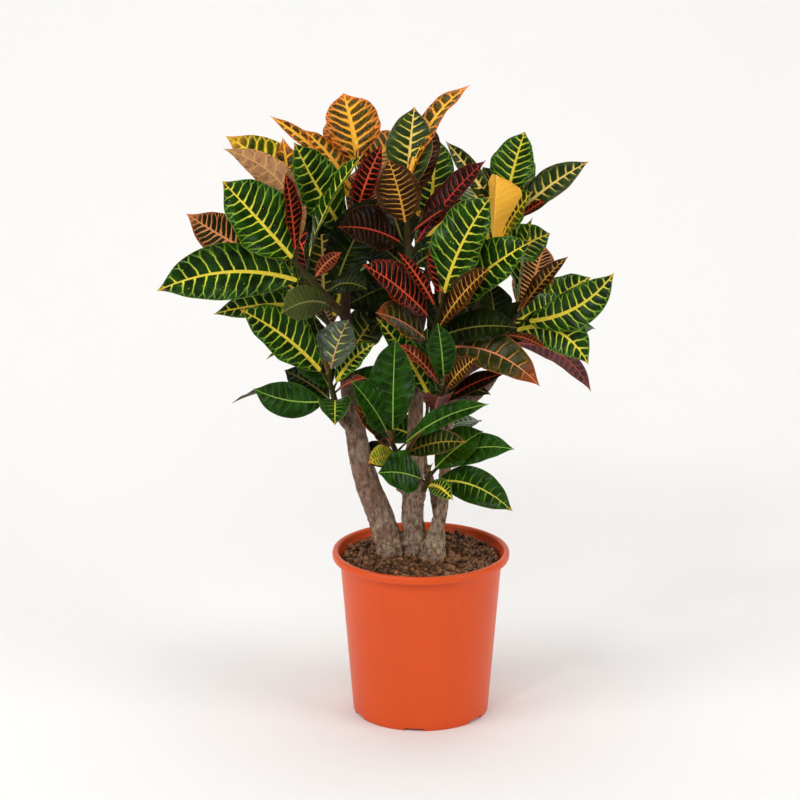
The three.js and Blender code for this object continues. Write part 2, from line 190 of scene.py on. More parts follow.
cutters = bmesh.new()
for i in range(NOTCHES):
    turn = Matrix.Rotation(math.radians(NOTCH_FIRST + 360 * i / NOTCHES), 4, "Z")
    block = Matrix.Diagonal((NOTCH_DEEP * MM, NOTCH_WIDTH * MM, 2 * NOTCH_HEIGHT * MM, 1))
    box = Matrix.Translation((NOTCH_CIRCLE * MM, 0, 0)) @ block
    bmesh.ops.create_cube(cutters, size=1, matrix=turn @ box)
    turn = Matrix.Rotation(math.radians(NOTCH_FIRST + 360 * (i + 0.5) / NOTCHES), 4, "Z")
    bmesh.ops.create_cone(
        cutters, cap_ends=True, segments=24, radius1=DRAIN_RADIUS * MM, radius2=DRAIN_RADIUS * MM,
        depth=DRAIN_LENGTH * MM, matrix=turn @ Matrix.Translation((DRAIN_CIRCLE * MM, 0, FLOOR_TOP * MM)),
    )
cutter = piece_from(cutters, "cutter")
cut = pot.modifiers.new("holes", "BOOLEAN")
cut.operation = "DIFFERENCE"
cut.solver = "EXACT"
cut.object = cutter


def apply_modifiers(thing):
    """Bakes a piece's modifiers into its mesh."""
    bpy.context.view_layer.update()
    evaluated = thing.evaluated_get(bpy.context.evaluated_depsgraph_get())
    mesh = bpy.data.meshes.new_from_object(evaluated)
    thing.modifiers.clear()
    thing.data = mesh


apply_modifiers(pot)
bpy.data.objects.remove(cutter)
pot.data.set_sharp_from_angle(angle=math.radians(50))

# Polypropylene, moulded with a satin finish: pigment that clouds a little, fine vertical flow lines and
# scuffs, and a soft broad gloss.
plastic = blank_material("moulded terracotta polypropylene")
place = add(plastic, "ShaderNodeTexCoord").outputs["Object"]
clouds = add(plastic, "ShaderNodeTexNoise", {"Vector": place, "Scale": 9.0, "Detail": 3.0}).outputs["Fac"]
streaked = add(plastic, "ShaderNodeMapping", {"Vector": place, "Scale": (1.0, 1.0, 0.06)}).outputs[0]
streaks = add(
    plastic, "ShaderNodeTexNoise", {"Vector": streaked, "Scale": 260.0, "Detail": 2.0},
).outputs["Fac"]
grain = add(plastic, "ShaderNodeTexNoise", {"Vector": place, "Scale": 1400.0, "Detail": 2.0}).outputs["Fac"]
tone = add(plastic, "ShaderNodeValToRGB", {"Fac": clouds})
tone.color_ramp.elements[0].position = 0.3
tone.color_ramp.elements[0].color = colour("d8460a")
tone.color_ramp.elements[1].position = 0.7
tone.color_ramp.elements[1].color = colour("e24f10")
streaky = add(
    plastic, "ShaderNodeMix", {"Factor": streaks, 6: tone.outputs[0], 7: colour("dc541a")},
    data_type="RGBA", blend_type="MIX",
)
gloss = add(plastic, "ShaderNodeMapRange", {"Value": streaks, 3: 0.3, 4: 0.46}).outputs[0]
shell = add(
    plastic, "ShaderNodeBsdfPrincipled",
    {"Base Color": streaky.outputs[2], "Roughness": gloss, "Specular IOR Level": 0.3},
)
finish_material(plastic, shell, grain, 0.06 * MM)
pot.data.materials.clear()
pot.data.materials.append(plastic)
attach(pot, "root")
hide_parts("pot")

# ---------------------------------------------------------------- soil
# Peat and coir potting mix, poured loose and settled by watering: a lumpy dark surface with crumbs of peat,
# pale scraps of bark and short coir fibres, a little lower than the lip.
SOIL_TOP = 190 * MM
SOIL_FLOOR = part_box("soil")[0].z
SOIL_EDGE, SOIL_FOOT = 93.0 * MM, 77.2 * MM
SOIL_RINGS = 66
SCATTER_RADIUS = 90.5 * MM
CRUMBS, CHIPS, FIBRES = 2300, 420, 260


def soil_height(x, y):
    """Height of the soil's surface at a place."""
    swell = 3 * (1 - math.hypot(x, y) / 0.096)
    waves = 1.2 * (math.sin(110 * x + 0.6) * math.cos(130 * y) + math.sin(230 * (x + y)))
    spot = Vector((x, y, 0))
    lumps = 2.4 * noise.noise(spot * 95) + 2.0 * noise.noise(spot * 240) + 1.0 * noise.noise(spot * 610)
    return SOIL_TOP + (swell + waves + lumps) * MM


def blank_soil_material(name, dark, pale, roughness):
    """Crumbly organic matter: two tones that change from crumb to crumb, dull, and rough to a fine grain."""
    material = blank_material(name)
    spot = add(material, "ShaderNodeTexCoord").outputs["Object"]
    patch = add(material, "ShaderNodeTexNoise", {"Vector": spot, "Scale": 150.0, "Detail": 6.0})
    grit = add(material, "ShaderNodeTexNoise", {"Vector": spot, "Scale": 1500.0, "Detail": 3.0})
    tones = add(material, "ShaderNodeValToRGB", {"Fac": patch.outputs["Fac"]})
    tones.color_ramp.elements[0].position = 0.38
    tones.color_ramp.elements[0].color = colour(dark)
    tones.color_ramp.elements[1].position = 0.72
    tones.color_ramp.elements[1].color = colour(pale)
    dull = add(
        material, "ShaderNodeBsdfPrincipled",
        {"Base Color": tones.outputs[0], "Roughness": roughness, "Specular IOR Level": 0.25},
    )
    return finish_material(material, dull, grit.outputs["Fac"], 0.5 * MM)


ground = bmesh.new()
bmesh.ops.create_circle(ground, cap_ends=False, segments=96, radius=SOIL_EDGE)
rim_edges = ground.edges[:]
bottom = bmesh.ops.extrude_edge_only(ground, edges=rim_edges)["geom"]
low = those(bmesh.types.BMVert, bottom)
bmesh.ops.scale(ground, verts=low, vec=(SOIL_FOOT / SOIL_EDGE, SOIL_FOOT / SOIL_EDGE, 1))
bmesh.ops.translate(ground, verts=low, vec=(0, 0, SOIL_FLOOR - SOIL_TOP))
bmesh.ops.contextual_create(ground, geom=those(bmesh.types.BMEdge, bottom))
for share in np.linspace(0.985, 0.015, SOIL_RINGS):
    inner = bmesh.ops.extrude_edge_only(ground, edges=rim_edges)["geom"]
    ring = those(bmesh.types.BMVert, inner)
    now = math.hypot(ring[0].co.x, ring[0].co.y)
    bmesh.ops.scale(ground, verts=ring, vec=(share * SOIL_EDGE / now, share * SOIL_EDGE / now, 1))
    rim_edges = those(bmesh.types.BMEdge, inner)
bmesh.ops.contextual_create(ground, geom=rim_edges)
bmesh.ops.translate(ground, verts=ground.verts, vec=(0, 0, SOIL_TOP))
bmesh.ops.recalc_face_normals(ground, faces=ground.faces)
for vertex in ground.verts:
    if vertex.co.z > SOIL_TOP - MM:
        vertex.co.z = soil_height(vertex.co.x, vertex.co.y)
mix = blank_soil_material("peat and coir potting mix", "331d0e", "7d502e", 0.95)
soil = piece_from(ground, "potting_soil", mix)
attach(soil, "root")
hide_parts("soil")

rng = np.random.default_rng(21)


def scatter(bm, shape, count, size_low, size_high, sink):
    """Drops turned and squashed copies of a small shape on the soil's surface."""
    for _ in range(count):
        radius = SCATTER_RADIUS * math.sqrt(rng.random())
        angle = 2 * math.pi * rng.random()
        x, y = radius * math.cos(angle), radius * math.sin(angle)
        size = size_low + (size_high - size_low) * rng.random() ** 2.2
        spot = Matrix.Translation((x, y, soil_height(x, y) + (0.5 - sink) * size))
        turn = Matrix.Rotation(2 * math.pi * rng.random(), 4, "Z")
        turn = turn @ Matrix.Rotation(rng.normal(0, 0.6), 4, "X")
        shape(bm, spot @ turn, size)


def crumb(bm, place, size):
    squash = Matrix.Diagonal((size, size * rng.uniform(0.6, 1), size * rng.uniform(0.45, 0.9), 1))
    made = bmesh.ops.create_icosphere(bm, subdivisions=1, radius=0.5, matrix=place @ squash)["verts"]
    for vertex in made:
        vertex.co += Vector(rng.normal(0, 0.09 * size, 3))


def chip(bm, place, size):
    squash = Matrix.Diagonal((size, size * rng.uniform(0.25, 0.5), size * rng.uniform(0.08, 0.16), 1))
    made = bmesh.ops.create_cube(bm, size=1, matrix=place @ squash)["verts"]
    for vertex in made:
        vertex.co += Vector(rng.normal(0, 0.05 * size, 3))


def fibre(bm, place, size):
    made = bmesh.ops.create_cone(
        bm, cap_ends=True, segments=4, radius1=0.14 * MM, radius2=0.08 * MM, depth=size,
        matrix=place @ Matrix.Rotation(math.pi / 2 + rng.normal(0, 0.12), 4, "X"),
    )["verts"]
    bmesh.ops.translate(bm, verts=made, vec=(0, 0, 0.3 * MM))


for name, shape, count, sizes, sink, tones in [
    ("soil_crumbs", crumb, CRUMBS, (1.0, 10.0), 0.35, ("peat crumbs", "331b0e", "b07c52", 0.6)),
    ("bark_chips", chip, CHIPS, (2.0, 7.0), 0.4, ("weathered bark chips", "7d5634", "bd9468", 0.85)),
    ("coir_fibres", fibre, FIBRES, (3.0, 11.0), 0.5, ("dry coir fibre", "7d5a36", "b59468", 0.8)),
]:
    bits = bmesh.new()
    scatter(bits, shape, count, sizes[0] * MM, sizes[1] * MM, sink)
    piece = piece_from(bits, name, blank_soil_material(*tones))
    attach(piece, "root")

# ---------------------------------------------------------------- wood
# Three stems from one old stool, with their branches and a cut twig stub, grown as one piece. Thin grey-brown
# bark covers the wood, with long ridges and old leaf scars, and it is pale and crusty at the foot.
BARK_VOXEL, BARK_SMOOTHINGS = 1.3 * MM, 9
bark_mesh = bmesh.new()
bark_mesh.from_mesh(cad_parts["wood"].data)
bmesh.ops.remove_doubles(bark_mesh, verts=bark_mesh.verts, dist=0.02 * MM)
wood = piece_from(bark_mesh, "woody_stems")
skin = wood.modifiers.new("skin", "REMESH")
skin.mode = "VOXEL"
skin.voxel_size = BARK_VOXEL
apply_modifiers(wood)

bark_mesh = bmesh.new()
bark_mesh.from_mesh(wood.data)
for _ in range(BARK_SMOOTHINGS):
    bmesh.ops.smooth_vert(
        bark_mesh, verts=bark_mesh.verts, factor=0.5, use_axis_x=True, use_axis_y=True, use_axis_z=True,
    )
bark_mesh.normal_update()
heights = []
for vertex in bark_mesh.verts:
    spot = vertex.co
    foot = max(0.0, min(1.0, (0.245 - spot.z) / 0.05))
    along = Vector((spot.x, spot.y, spot.z * 0.22))
    ridges = noise.noise(along * 150) * 1.1 + noise.noise(along * 420) * 0.55
    scars = max(0.0, noise.noise(Vector((spot.x * 60, spot.y * 60, spot.z * 210))) - 0.25) * 1.6
    crust = foot * (noise.noise(spot * 130) * 2.2 + noise.noise(spot * 340) * 1.5)
    thick = max(0.15, min(1.0, (0.47 - spot.z) / 0.17))
    heights.append((0.6 + thick * (ridges + scars) + crust) * MM)
for vertex, height in zip(bark_mesh.verts, heights):
    vertex.co += vertex.normal * height
bpy.data.objects.remove(wood)

bark = blank_material("thin grey-brown croton bark")
spot = add(bark, "ShaderNodeTexCoord").outputs["Object"]
drawn = add(bark, "ShaderNodeMapping", {"Vector": spot, "Scale": (1.0, 1.0, 0.45)}).outputs[0]
fissures = add(bark, "ShaderNodeTexNoise", {"Vector": drawn, "Scale": 230.0, "Detail": 7.0, "Roughness": 0.7})
patches = add(bark, "ShaderNodeTexNoise", {"Vector": spot, "Scale": 42.0, "Detail": 5.0})
tones = add(bark, "ShaderNodeValToRGB", {"Fac": fissures.outputs["Fac"]})
tones.color_ramp.elements[0].position = 0.37
tones.color_ramp.elements[0].color = colour("432d20")
tones.color_ramp.elements[1].position = 0.64
tones.color_ramp.elements[1].color = colour("b39a84")
patch_share = add(
    bark, "ShaderNodeMapRange", {"Value": patches.outputs["Fac"], 1: 0.44, 2: 0.62, 3: 0.0, 4: 0.6},
)
pinkish = add(
    bark, "ShaderNodeMix", {"Factor": patch_share.outputs[0], 6: tones.outputs[0], 7: colour("775041")},
    data_type="RGBA",
)
level = add(bark, "ShaderNodeSeparateXYZ", {"Vector": spot}).outputs["Z"]
foot = add(bark, "ShaderNodeMapRange", {"Value": level, 1: 0.27, 2: 0.19, 3: 0.0, 4: 1.0}).outputs[0]
lichen = add(bark, "ShaderNodeTexNoise", {"Vector": spot, "Scale": 55.0, "Detail": 6.0}).outputs["Fac"]
lichen_share = add(bark, "ShaderNodeMapRange", {"Value": lichen, 1: 0.44, 2: 0.58, 3: 0.1, 4: 0.85})
foot = add(bark, "ShaderNodeMath", {0: foot, 1: lichen_share.outputs[0]}, operation="MULTIPLY").outputs[0]
crust = add(bark, "ShaderNodeTexNoise", {"Vector": spot, "Scale": 190.0, "Detail": 5.0})
crust_tones = add(bark, "ShaderNodeValToRGB", {"Fac": crust.outputs["Fac"]})
crust_tones.color_ramp.elements[0].position = 0.4
crust_tones.color_ramp.elements[0].color = colour("7a5c44")
crust_tones.color_ramp.elements[1].position = 0.62
crust_tones.color_ramp.elements[1].color = colour("d3bd9f")
crusty = add(
    bark, "ShaderNodeMix", {"Factor": foot, 6: pinkish.outputs[2], 7: crust_tones.outputs[0]},
    data_type="RGBA",
)
# Painted shade: from 330 to 450 mm up, the bark darkens to a near-black brown where the stems run into the
# crown's shade.
crown_shade_share = add(bark, "ShaderNodeMapRange", {"Value": level, 1: 0.33, 2: 0.45, 3: 0.0, 4: 0.9}).outputs[0]
crown_shaded_bark = add(
    bark, "ShaderNodeMix", {"Factor": crown_shade_share, 6: crusty.outputs[2], 7: colour("2c1f13")}, data_type="RGBA",
)
rough_bark = add(
    bark, "ShaderNodeBsdfPrincipled",
    {"Base Color": crown_shaded_bark.outputs[2], "Roughness": 0.82, "Specular IOR Level": 0.15},
)
finish_material(bark, rough_bark, fissures.outputs["Fac"], 1.6 * MM)
wood = piece_from(bark_mesh, "woody_stems", bark)
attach(wood, "root")
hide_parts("wood")

# ---------------------------------------------------------------- leaf finishes
# A croton leaf is thick and leathery under a glossy cuticle. Its pigment follows the veins: a tapering
# midrib, side veins that fork near the margin, and a net between them, on dark islands of green or maroon.
# Every pattern is laid out in millimetres along and across the blade.
COATS = {
    # blade dark, blade light, beside the veins, veins near the rib, veins near the margin, midrib, margin,
    # tip
    "G": ("102206", "20430a", "417412", "e4db46", "86ac34", "ecd645", "6f8228", "d98f2b"),
    "P": ("142d04", "244c08", "285010", "3f6c1a", "2c560f", "97bd50", "3a6014", "5f8a20"),
    "Q": ("132a04", "224609", "28520f", "84a536", "3b6819", "d9d24c", "6f7a24", "c98a2c"),
    # S is partly painted reflection: a green leaf greyed by a pale sheen laid into its colours
    "S": ("37432f", "4f5b45", "54634a", "c6c25c", "667350", "d39c66", "5d6b4a", "6d6a44"),
    "O": ("1f260a", "3c3c0e", "a9621a", "f4b02f", "e0802a", "f5b43a", "cd5a1b", "e07420"),
    "M": ("120904", "240f06", "3d140b", "dd482a", "ab3420", "ea5c38", "8a2417", "b8391f"),
    "X": ("1a0b07", "2e140c", "40180f", "b03a2c", "53201a", "b83a38", "7d2a22", "8f2f26"),
    "W": ("0e0a03", "1c1105", "241208", "662a1a", "33170b", "cf4a2f", "5e2417", "5e2417"),
    "B": ("261507", "3d240a", "4f300d", "d89a3a", "8a5a22", "e6a640", "70301a", "8a3f20"),
    "E": ("1b1f08", "2c2f0c", "3a300f", "ef9a5e", "cf7344", "f3a066", "b55f31", "e0804a"),
    "Y": ("1e2b10", "34441a", "46561f", "e8cb5a", "6f7c30", "f3d173", "a5815a", "d18d66"),
    "H": ("222c0a", "38460e", "97921f", "efd436", "e6c42f", "f0d038", "cc892d", "dd9a2c"),
    "N": ("3c5715", "6b8621", "a9b02b", "e8d53c", "d6cf3c", "e9b838", "cf8a2e", "e0982f"),
    "F": ("1f2a08", "37380b", "484a0e", "d38449", "935a26", "df8a58", "c05f38", "9c401a"),
    "R": ("2b1408", "49220e", "5f2c14", "c25a30", "8a3c1e", "d26a3a", "9c3a1c", "a8401f"),
    # D is painted shade: a near-black green for leaves that stand in the crown's shade
    "D": ("0d1604", "1c2609", "20290b", "3e4517", "262f0e", "7c7434", "2b2a0e", "4c3d17"),
    "K": ("15240a", "253611", "344615", "9c8c2e", "515a1e", "b59c3c", "8a6a26", "c98a2c"),
    "V": ("4d3434", "6e4a46", "7d4c46", "b5544c", "9a4a44", "c2605a", "9a3f3c", "a8443c"),
}
VEINING = {
    # half width of a side vein and of the midrib in mm, share of net, where the tip's colour starts, the
    # veins' distance as a share of the blade's length, how far out they reach, gloss, and the underside
    "G": (0.5, 2.8, 0.0, 0.93, 0.068, 1.02, 0.12, "olive"),
    "P": (0.2, 0.9, 0.0, 0.93, 0.08, 0.7, 0.12, "pale"),
    "Q": (0.25, 1.3, 0.0, 0.93, 0.07, 0.7, 0.12, "pale"),
    "S": (0.45, 1.1, 0.0, 0.93, 0.12, 0.6, 0.3, "pale"),
    "O": (1.0, 4.4, 0.55, 0.8, 0.085, 1.3, 0.12, "amber"),
    "M": (0.42, 1.6, 0.0, 0.93, 0.05, 1.3, 0.07, "mauve"),
    "X": (0.34, 1.5, 0.0, 0.93, 0.045, 0.95, 0.07, "mauve"),
    "W": (0.3, 1.3, 0.0, 0.93, 0.055, 0.8, 0.06, "mauve"),
    "B": (0.42, 1.3, 0.0, 0.93, 0.05, 0.9, 0.1, "bronze"),
    "E": (0.55, 2.5, 0.0, 0.85, 0.03, 1.25, 0.08, "rosy"),
    "Y": (0.6, 2.4, 0.0, 0.93, 0.07, 0.85, 0.12, "rosy"),
    "H": (1.1, 3.0, 0.2, 0.78, 0.06, 1.3, 0.12, "rosy"),
    "N": (0.6, 1.5, 0.8, 0.85, 0.05, 1.3, 0.14, "olive"),
    "F": (0.3, 1.4, 0.12, 0.72, 0.1, 0.9, 0.12, "bronze"),
    "R": (0.42, 1.1, 0.05, 0.8, 0.055, 1.1, 0.1, "bronze"),
    "D": (0.3, 1.2, 0.0, 0.93, 0.07, 0.7, 0.05, "olive"),
    "K": (0.4, 1.2, 0.05, 0.9, 0.06, 0.9, 0.1, "gold"),
    "V": (0.5, 1.3, 0.3, 0.9, 0.05, 1.3, 0.14, "plum"),
}
UNDERSIDES = {
    # blade, veins, midrib, blotches, and a painted glow: emission in the blade's colour standing in for light
    # that comes through the leaf
    "olive": ("474f20", "5f6630", "9a9250", "3c4520", 0.0),
    "pale": ("31481d", "3c5625", "a9a850", "2b401a", 0.0),
    "amber": ("cf8239", "e6a458", "edb267", "4a2f18", 0.08),
    "mauve": ("3a2320", "a33c30", "b84a38", "30191a", 0.0),
    "plum": ("7a5452", "b5605a", "c2605a", "634444", 0.0),
    "bronze": ("4a3c22", "66502c", "94703a", "372c1a", 0.0),
    "rosy": ("a87950", "d09c5a", "dca464", "7a5439", 0.03),
    # gold: the underside's own golden colour, painted brighter, with the strongest painted glow
    "gold": ("fbb940", "ffc552", "ffcf66", "f4ac37", 0.3),
}
STEPS = {
    # a recipe's own words for a node: its kind, its settings, its sockets in order and its output
    "EASE": ("ShaderNodeMapRange", {"interpolation_type": "SMOOTHSTEP"}, (0, 1, 2, 3, 4), 0),
    "LAY": ("ShaderNodeMix", {"data_type": "RGBA"}, (0, 6, 7), 2),
    "SPOT": ("ShaderNodeCombineXYZ", {}, (0, 1, 2), 0),
    "PART": ("ShaderNodeSeparateXYZ", {}, (0,), 0),
    "CLOUD": ("ShaderNodeTexNoise", {}, (0, 2, 3), 0),
    "DICE": ("ShaderNodeTexWhiteNoise", {"noise_dimensions": "3D"}, (0,), 0),
}


def follow(material, values, recipe):
    """Adds a node for each step (name, kind, operands): an operand is a value or an earlier step's name."""
    for name, kind, *operands in recipe:
        arithmetic = ("ShaderNodeMath", {"operation": kind}, (0, 1, 2), 0)
        node, settings, sockets, output = STEPS.get(kind, arithmetic)
        links = {s: values[o] if isinstance(o, str) else o for s, o in zip(sockets, operands)}
        values[name] = add(material, node, links, **settings).outputs[output]


# Side veins stand 5 to 13 mm apart, leave the midrib at about 60 degrees and bend on towards the tip.
VEINS = [
    ("wide", "MULTIPLY_ADD", "across", 2.0, -1.0),
    ("side", "SIGN", "wide"),
    ("r", "ABSOLUTE", "wide"),
    ("s", "MULTIPLY", "u", "length"),
    ("t", "MULTIPLY", "r", "half"),
    ("t_signed", "MULTIPLY", "t", "side"),
    ("deep", "MULTIPLY", "seed", 400.0),
    ("flat", "SPOT", "s", "t_signed", "deep"),
    ("drift", "CLOUD", "flat", 0.1, 1.0),
    ("wobble", "EASE", "drift", 0.3, 0.7, -0.6, 0.6),
    ("spacing", "MULTIPLY_ADD", "length", "pitch", 2.4),
    ("r2", "POWER", "r", 2.2),
    ("bend", "MULTIPLY", "r2", "half"),
    ("bent", "MULTIPLY_ADD", "bend", 0.14, "wobble"),
    ("lean", "MULTIPLY_ADD", "t", 0.36, "bent"),
    ("start", "SUBTRACT", "s", "lean"),
    ("turns", "DIVIDE", "start", "spacing"),
    ("shifted", "MULTIPLY_ADD", "side", 0.21, "turns"),
    ("phase", "MULTIPLY_ADD", "seed", 7.0, "shifted"),
    ("cell", "ROUND", "phase"),
    ("off", "SUBTRACT", "phase", "cell"),
    ("f", "ABSOLUTE", "off"),
    ("row", "MULTIPLY_ADD", "side", 31.0, "cell"),
    ("pick", "SPOT", "row", "seed", 0.0),
    ("dice", "DICE", "pick"),
    ("fork_from", "MULTIPLY_ADD", "dice", 0.3, 0.5),
    ("fork", "EASE", "r", "fork_from", 1.0, 0.0, 0.36),
    ("apart", "SUBTRACT", "f", "fork"),
    ("apart_abs", "ABSOLUTE", "apart"),
    ("apart_mm", "MULTIPLY", "apart_abs", "spacing"),
    ("d", "MULTIPLY", "apart_mm", 0.84),
    ("to_tip", "SUBTRACT", 1.0, "u"),
]


def blade_places(material):
    """Where a point lies on its blade, as shares, and the blade's length and half width there in mm."""
    flat = add(material, "ShaderNodeUVMap", uv_map="blade").outputs[0]
    size = add(material, "ShaderNodeAttribute", attribute_name="blade_size").outputs["Vector"]
    at, of = (add(material, "ShaderNodeSeparateXYZ", {"Vector": v}).outputs for v in (flat, size))
    return {"across": at["X"], "u": at["Y"], "length": of["X"], "half": of["Y"], "seed": of["Z"]}


def croton_blade(letter):
    """The upper face of a leaf in one coat: quilted between its veins, and glossy."""
    dark, light, beside, inner, outer, rib, margin, tip = COATS[letter]
    vein_half, rib_half, net, tip_from, pitch, reach, shine, _ = VEINING[letter]
    material = blank_material(f"glossy croton leaf {letter}")
    values = {"pitch": pitch, **blade_places(material)}
    follow(material, values, VEINS + [
        ("fine", "CLOUD", "flat", 0.55, 3.0),
        ("broad", "CLOUD", "flat", 0.06, 3.0),
        ("flare", "EASE", "r", 0.0, 0.3, 2.0, 1.0),
        ("thinner", "MULTIPLY_ADD", "r", -0.6, "flare"),
        ("uneven", "MULTIPLY_ADD", "dice", 0.8, 0.3),
        ("rough", "MULTIPLY_ADD", "fine", 1.1, -0.25),
        ("width1", "MULTIPLY", "thinner", "uneven"),
        ("width2", "ADD", "width1", "rough"),
        ("width3", "MULTIPLY", "width2", vein_half * 1.25),
        ("width", "MAXIMUM", "width3", 0.05),
        ("soft", "MULTIPLY", "width", 0.55),
        ("hard", "MULTIPLY_ADD", "width", 1.15, 0.12),
        ("wide_halo", "MULTIPLY_ADD", "width", 1.0, 1.5),
        ("line", "EASE", "d", "soft", "hard", 1.0, 0.0),
        ("fade", "EASE", "r", reach - 0.3, reach, 1.0, 0.12),
        ("veins", "MULTIPLY", "line", "fade"),
        ("halo", "EASE", "d", "width", "wide_halo", 0.5, 0.0),
        ("taper", "POWER", "to_tip", 0.75),
        ("rib_edge", "MULTIPLY_ADD", "taper", rib_half, 0.3),
        ("rib_soft", "MULTIPLY", "rib_edge", 0.7),
        ("rib", "EASE", "t", "rib_soft", "rib_edge", 1.0, 0.0),
        ("from_edge", "SUBTRACT", "half", "t"),
        ("edge", "EASE", "from_edge", 0.15, 0.9, 1.0, 0.0),
        ("tip_share", "EASE", "u", tip_from, 1.0, 0.0, 0.85),
    ])
    mesh_of = add(
        material, "ShaderNodeTexVoronoi", {"Vector": values["flat"], "Scale": 0.24, "Randomness": 0.9},
        feature="DISTANCE_TO_EDGE",
    )
    dots = add(material, "ShaderNodeTexVoronoi", {"Vector": values["flat"], "Scale": 0.3}, feature="F1")
    values |= {"mesh": mesh_of.outputs["Distance"]}
    values |= {"gap": dots.outputs["Distance"], "lot": dots.outputs["Color"]}
    follow(material, values, [
        ("net_share", "EASE", "r", 0.45, 0.9, 0.3 * net, net),
        ("net", "EASE", "mesh", 0.02, 0.075, "net_share", 0.0),
        ("chance", "PART", "lot"),
        ("dot_size", "EASE", "chance", 0.82, 0.98, 0.0, 0.19),
        ("dot", "LESS_THAN", "gap", "dot_size"),
        ("speck", "MULTIPLY", "dot", 0.75),
        ("drawn", "MAXIMUM", "veins", "net"),
        ("marks", "MAXIMUM", "drawn", "speck"),
        ("clouded", "EASE", "broad", 0.35, 0.68),
        ("lamina", "LAY", "clouded", colour(dark), colour(light)),
        ("greener", "LAY", "halo", "lamina", colour(beside)),
        ("outwards", "EASE", "r", 0.15, 0.95),
        ("vein_tone", "LAY", "outwards", colour(inner), colour(outer)),
        ("marked", "LAY", "marks", "greener", "vein_tone"),
        ("edged", "LAY", "edge", "marked", colour(margin)),
        ("tipped", "LAY", "tip_share", "edged", colour(tip)),
        ("ribbed", "LAY", "rib", "tipped", colour(rib)),
        ("brightness", "MULTIPLY_ADD", "seed", 0.28, 0.86),
        ("gloss", "EASE", "fine", 0.3, 0.7, 0.19, 0.33),
        ("swell", "EASE", "d", -1.5, 4.5, 0.0, 4.5),
        ("relief", "MULTIPLY_ADD", "rib", -2.0, "swell"),
        ("pores", "MULTIPLY_ADD", "fine", 0.5, "relief"),
    ])
    varied = add(
        material, "ShaderNodeHueSaturation", {"Color": values["ribbed"], "Value": values["brightness"]},
    )
    cuticle = add(material, "ShaderNodeBsdfPrincipled", {
        "Base Color": varied.outputs[0], "Roughness": values["gloss"], "Specular IOR Level": shine,
    })
    return finish_material(material, cuticle, values["pores"], 0.22 * MM)


def croton_underside(name):
    """The under face of a leaf: duller and paler, with the veins standing out of it."""
    base, vein, rib, blotch, painted_glow = UNDERSIDES[name]
    material = blank_material(f"croton leaf underside {name}")
    values = {"pitch": 0.075, **blade_places(material)}
    follow(material, values, VEINS + [
        ("veins", "EASE", "d", 0.3, 1.3, 0.75, 0.0),
        ("rib_edge", "MULTIPLY_ADD", "to_tip", 1.4, 0.4),
        ("rib", "EASE", "t", 0.4, "rib_edge", 1.0, 0.0),
        ("patchy", "CLOUD", "flat", 0.16, 3.0),
        ("patches", "EASE", "patchy", 0.46, 0.66, 0.0, 0.8),
        ("blotched", "LAY", "patches", colour(base), colour(blotch)),
        ("veined", "LAY", "veins", "blotched", colour(vein)),
        ("ribbed", "LAY", "rib", "veined", colour(rib)),
        ("raised", "ADD", "veins", "rib"),
    ])
    # Painted glow: the underside emits a little of its blade colour, in place of light shining through the
    # leaf.
    dull = add(material, "ShaderNodeBsdfPrincipled", {
        "Base Color": values["ribbed"], "Roughness": 0.5, "Specular IOR Level": 0.15,
        "Emission Color": colour(base), "Emission Strength": painted_glow,
    })
    return finish_material(material, dull, values["raised"], 0.4 * MM)


blade_materials = {letter: croton_blade(letter) for letter in COATS}
under_materials = {name: croton_underside(name) for name in UNDERSIDES}

# The skin of a young shoot and of its stalks: green turning brown, smooth and a little waxy.
green_skin = blank_material("green croton stem and stalk")
spot = add(green_skin, "ShaderNodeTexCoord").outputs["Object"]
mottle = add(green_skin, "ShaderNodeTexNoise", {"Vector": spot, "Scale": 120.0, "Detail": 3.0}).outputs["Fac"]
flush = add(green_skin, "ShaderNodeValToRGB", {"Fac": mottle})
flush.color_ramp.elements[0].position = 0.35
flush.color_ramp.elements[0].color = colour("35380f")
flush.color_ramp.elements[1].position = 0.7
flush.color_ramp.elements[1].color = colour("402612")
waxy = add(
    green_skin, "ShaderNodeBsdfPrincipled",
    {"Base Color": flush.outputs[0], "Roughness": 0.45, "Specular IOR Level": 0.2},
)
finish_material(green_skin, waxy, mottle, 0.3 * MM)

